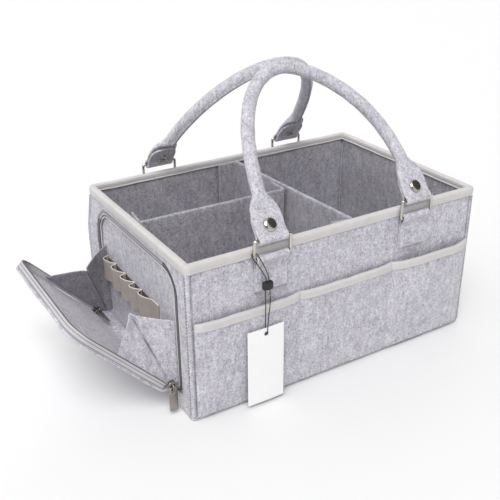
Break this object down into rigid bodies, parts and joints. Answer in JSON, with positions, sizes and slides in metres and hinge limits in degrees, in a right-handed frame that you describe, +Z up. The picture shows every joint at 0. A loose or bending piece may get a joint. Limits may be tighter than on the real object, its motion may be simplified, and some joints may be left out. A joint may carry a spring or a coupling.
{
  "type": "diaper caddy",
  "caption": "Rectangular felt carry caddy with lift-out dividers, outside pockets, a zipped fold-down end pocket and two ringed handles.",
  "frame": {"origin": "middle of the underside of the floor panel", "axes": "+X along the length to the plain end, -Y to the side with the hang tag, +Z up"},
  "size_m": [0.4922, 0.2776, 0.3386],
  "materials": {
    "felt": "needled felt, matt, grey flecks",
    "binding": "ribbed tape, matt",
    "zip_tape": "woven tape with a nylon coil",
    "nickel": "polished nickel",
    "zip_metal": "polished dark nickel",
    "elastic": "woven elastic, matt",
    "cotton": "twisted cotton cord",
    "hook": "hook tape",
    "card": "coated card",
    "black_plastic": "moulded, satin",
    "black_cord": "waxed cord"
  },
  "bodies": {
    "root": {"floor_panel": "felt", "front_wall": "felt", "back_wall": "felt", "left_end_wall": "felt", "left_end_border": "felt", "right_end_wall": "felt", "rim_binding": "binding", "corner_rib_front_left": "binding", "corner_rib_front_right": "binding", "corner_rib_back_left": "binding", "corner_rib_back_right": "binding", "front_pocket_panel": "felt", "front_pocket_binding": "binding", "back_pocket_panel": "felt", "back_pocket_binding": "binding", "handle_tab_front_left": "felt", "handle_tab_front_right": "felt", "handle_tab_back_left": "felt", "handle_tab_back_right": "felt", "wall_zip_half": "zip_tape", "near_zip_slider": "zip_metal", "pen_loop_strip": "elastic", "near_gusset": "felt", "far_gusset": "felt"},
    "front_rings": {"ring_front_left": "nickel", "ring_front_right": "nickel"},
    "front_handle": {"front_handle": "felt", "front_handle_core": "cotton", "front_handle_rivet_left": "zip_metal", "front_handle_rivet_right": "zip_metal"},
    "back_rings": {"ring_back_left": "nickel", "ring_back_right": "nickel"},
    "back_handle": {"back_handle": "felt", "back_handle_core": "cotton", "back_handle_rivet_left": "zip_metal", "back_handle_rivet_right": "zip_metal"},
    "end_flap": {"end_flap": "felt", "flap_zip_half": "zip_tape", "far_zip_slider": "zip_metal"},
    "near_pull": {"near_zip_pull": "zip_metal"},
    "far_pull": {"far_zip_pull": "zip_metal"},
    "cross_divider": {"cross_divider": "felt", "cross_divider_hook_back": "hook", "cross_divider_hook_front": "hook"},
    "long_divider": {"long_divider": "felt", "long_divider_hook_left": "hook", "long_divider_hook_right": "hook"},
    "tag": {"hang_tag": "card", "tag_seal": "black_plastic", "tag_cord_upper": "black_cord", "tag_cord_lower": "black_cord"}
  },
  "joints": [
    {"name": "front_ring_swing", "type": "hinge", "parent": "root", "child": "front_rings", "pos_m": [0, -0.1305, 0.1725], "axis": [1, 0, 0], "range_deg": [-3, 100]},
    {"name": "front_handle_swing", "type": "hinge", "parent": "front_rings", "child": "front_handle", "pos_m": [0, -0.1305, 0.193], "axis": [1, 0, 0], "range_deg": [-4, 90]},
    {"name": "back_ring_swing", "type": "hinge", "parent": "root", "child": "back_rings", "pos_m": [0, 0.1305, 0.1725], "axis": [-1, 0, 0], "range_deg": [-3, 100]},
    {"name": "back_handle_swing", "type": "hinge", "parent": "back_rings", "child": "back_handle", "pos_m": [0, 0.1305, 0.193], "axis": [-1, 0, 0], "range_deg": [-4, 90]},
    {"name": "flap_hinge", "type": "hinge", "parent": "root", "child": "end_flap", "pos_m": [-0.19, 0, 0.023], "axis": [0, -1, 0], "range_deg": [-43, 10], "deforming": ["near_gusset", "far_gusset"]},
    {"name": "near_pull_swing", "type": "hinge", "parent": "root", "child": "near_pull", "pos_m": [-0.2005, -0.1033, 0.036], "axis": [-1, 0, 0], "range_deg": [0, 150]},
    {"name": "far_pull_swing", "type": "hinge", "parent": "end_flap", "child": "far_pull", "pos_m": [-0.20956, 0.083, 0.04031], "axis": [-0.682, 0, 0.7314], "range_deg": [0, 35]},
    {"name": "cross_divider_lift", "type": "slide", "parent": "root", "child": "cross_divider", "axis": [0, 0, 1], "range_m": [0, 0.12]},
    {"name": "long_divider_lift", "type": "slide", "parent": "root", "child": "long_divider", "axis": [0, 0, 1], "range_m": [0, 0.12]},
    {"name": "tag_swing", "type": "hinge", "parent": "root", "child": "tag", "pos_m": [-0.1165, -0.1305, 0.1785], "axis": [-1, 0, 0], "range_deg": [0, 25], "deforming": ["tag_cord_upper"]}
  ]
}
